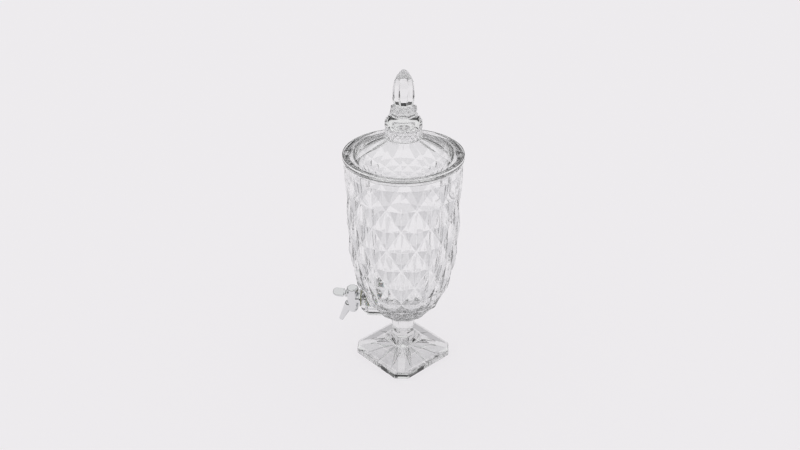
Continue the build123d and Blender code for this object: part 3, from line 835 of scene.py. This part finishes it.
select_points(collar, on_neck)
for radius, height in bend((neck_radius, roof - roof_bend), (neck_radius, roof), (roof_radius, roof), 8):
    next_ring(collar, radius, height)
close_rings(collar)
bpy.ops.object.mode_set(mode="EDIT")
bpy.ops.mesh.select_all(action="SELECT")
bpy.ops.mesh.remove_doubles(threshold=1e-6)
bpy.ops.object.mode_set(mode="OBJECT")
select_points(collar, in_diamonds)
bpy.ops.mesh.quads_convert_to_tris(quad_method="SHORTEST_DIAGONAL")
bpy.ops.object.mode_set(mode="OBJECT")
round_edges(collar, 20, facet_edge, 1)
select_only(lid)
collar.select_set(True)
bpy.ops.object.join()
stand_for(lid, "lid_cover")
print(lid.name, len(lid.data.polygons), "faces")

# %% [markdown]
# ## Bowl
# The bowl's diamonds are cut by two sets of grooves that cross. The grooves are rounded most, as a wheel
# leaves them, and the ridges between the facets a little. Both are chosen by place: outside, under the
# plain band, and away from the boss that carries the tap. A bevel weight on each edge tells the modifier
# how wide to go.

# %% Bowl edges
pattern_top = 0.340
tap_height = 0.102
boss_zone = 0.0285
groove_width = 0.0010
ridge_share = 0.4
least_angle, corner_angle = 4, math.radians(25)
level_limit = 0.001
bowl = merged_copy("jar_bowl", "glass")


def in_pattern(place):
    near_tap = place.y < 0 and math.hypot(place.x, place.z - tap_height) < boss_zone
    return not near_tap and place.z < pattern_top - top_zone


def faces_outwards(face):
    outward = face.normal.x * face.center.x + face.normal.y * face.center.y
    return outward > abs(face.normal.z) * level_limit


def is_inverted(face, points):
    """The half of a diamond that has its wide end above, and leans down."""
    heights = [points[k].co.z for k in face.vertices]
    return face.center.z > (min(heights) + max(heights)) / 2


mesh = bowl.data
weights = mesh.attributes.new("bevel_weight_edge", "FLOAT", "EDGE")
grooves = ridges = 0
for edge, pair in sharp_edges(mesh, least_angle):
    ends = [mesh.vertices[k].co for k in edge.vertices]
    if not all(map(in_pattern, ends)) or not all(map(faces_outwards, pair)):
        if pair[0].normal.angle(pair[1].normal) > corner_angle:
            edge.use_edge_sharp = True
        continue
    hollow = pair[0].normal.dot(pair[1].center - pair[0].center) > 0
    weights.data[edge.index].value = 1.0 if hollow else ridge_share
    grooves += hollow
    ridges += not hollow
print("grooves", grooves, "ridges", ridges)

# %% Bowl bevel and shade
apply_bevel(bowl, groove_width, 2, limit_method="WEIGHT")
facet_area = 0.00004
low_zone, low_shade = 0.116, 0.5
mesh = bowl.data
# Painted shade: full on the halves of the diamonds that lean down, half on the other facets below low_zone.
tones = mesh.attributes.new("shade", "FLOAT", "FACE")
for face in mesh.polygons:
    if face.area > facet_area and in_pattern(face.center) and faces_outwards(face):
        plain = low_shade if face.center.z < low_zone else 0.0
        tones.data[face.index].value = 1.0 if is_inverted(face, mesh.vertices) else plain
print("shaded facets", sum(tone.value > 0 for tone in tones.data))

# %% [markdown]
# ## Rings
# The rings of silicone are moulded with round edges, so they are turned from a small section: a rectangle
# whose corners are bevelled, spun round the axis. The lid's ring leaves a hair of air above and below, as a
# ring that is only laid on glass does.

# %% Ring tool
def turned_ring(name, inner, outer, low, high, corner, steps):
    """Ring round the Z axis, with a rounded rectangle for its section."""
    bpy.ops.object.select_all(action="DESELECT")
    bpy.ops.mesh.primitive_plane_add(size=1.0)
    ring = bpy.context.object
    ring.name = name
    ring.scale = (outer - inner, high - low, 1.0)
    ring.rotation_euler = (math.pi / 2, 0, 0)
    ring.location = ((inner + outer) / 2, 0, (low + high) / 2)
    bpy.ops.object.transform_apply()
    bpy.ops.object.mode_set(mode="EDIT")
    bpy.ops.mesh.select_all(action="SELECT")
    bpy.ops.mesh.bevel(offset=corner, segments=4, affect="VERTICES")
    bpy.ops.mesh.select_all(action="SELECT")
    bpy.ops.mesh.delete(type="ONLY_FACE")
    bpy.ops.mesh.select_all(action="SELECT")
    bpy.ops.mesh.spin(steps=steps, angle=math.tau, center=(0, 0, 0), axis=(0, 0, 1))
    bpy.ops.mesh.select_all(action="SELECT")
    bpy.ops.mesh.remove_doubles(threshold=1e-6)
    bpy.ops.mesh.normals_make_consistent(inside=False)
    bpy.ops.object.mode_set(mode="OBJECT")
    bpy.ops.object.shade_smooth_by_angle(angle=math.radians(40))
    print(ring.name, len(ring.data.polygons), "faces")
    return ring


# %% Ring of the lid
lid_ring_bore, lid_ring_corner, air_gap = 0.0779, 0.0005, 0.0001
low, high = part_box("lid_gasket")
lid_ring = turned_ring(
    "lid_gasket_ring", lid_ring_bore, high.x, low.z + air_gap, high.z - air_gap, lid_ring_corner, 192
)
stand_for(lid_ring, "lid_gasket")

# %% Rings of the tap
tap_ring_bore, tap_ring_corner, clearance = 0.0076, 0.0004, 0.00002
for name in ("outer_gasket", "inner_gasket"):
    low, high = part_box(name)
    ring = turned_ring(
        name + "_ring", tap_ring_bore, high.x, low.y + clearance, high.y - clearance, tap_ring_corner, 96
    )
    ring.rotation_euler = (-math.pi / 2, 0, 0)
    ring.location = (0, 0, tap_height)
    select_only(ring)
    bpy.ops.object.transform_apply()
    stand_for(ring, name)

# %% [markdown]
# ## Tap
# A casting has no sharp edge anywhere, and polishing before the plating rounds it further. The body, cap,
# flange and lever are copies with every edge over thirty degrees rounded by 0.3 mm, which gives chrome the
# thin bright and dark lines along its edges. The moulded nut is a copy too, and a little softer.

# %% Tap
cast_edge, moulded_edge = 0.0003, 0.0004
for name in ("tap_body", "tap_cap", "tap_flange", "lever"):
    round_edges(merged_copy(name, "cast"), 30, cast_edge, 2)
round_edges(merged_copy("shank_nut", "cast"), 30, moulded_edge, 2)

# %% [markdown]
# ## Spring
# The coil spring stands on the stem's clip and pushes up against the cap. When the lever lifts the stem the
# coils close up, so a stiff piece would cut through the clip. Its copy stays with the tap, and the share of
# its length that is left when the stem has risen is worked out and printed.

# %% Spring
stem_travel = 0.00298
spring = merged_copy("return_spring", "wire")
low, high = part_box("return_spring")
shortest = 1 - stem_travel / (high.z - low.z)
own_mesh(spring)
print(spring.name, "shortens to", round(shortest, 3))

# %% [markdown]
# ## Sizes
# The dressed dispenser has to fill the same box as the imported one, so its box is printed.

# %% Sizes and finish
low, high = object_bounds()
print("visual box", [round(v, 4) for v in (*low, *high)])
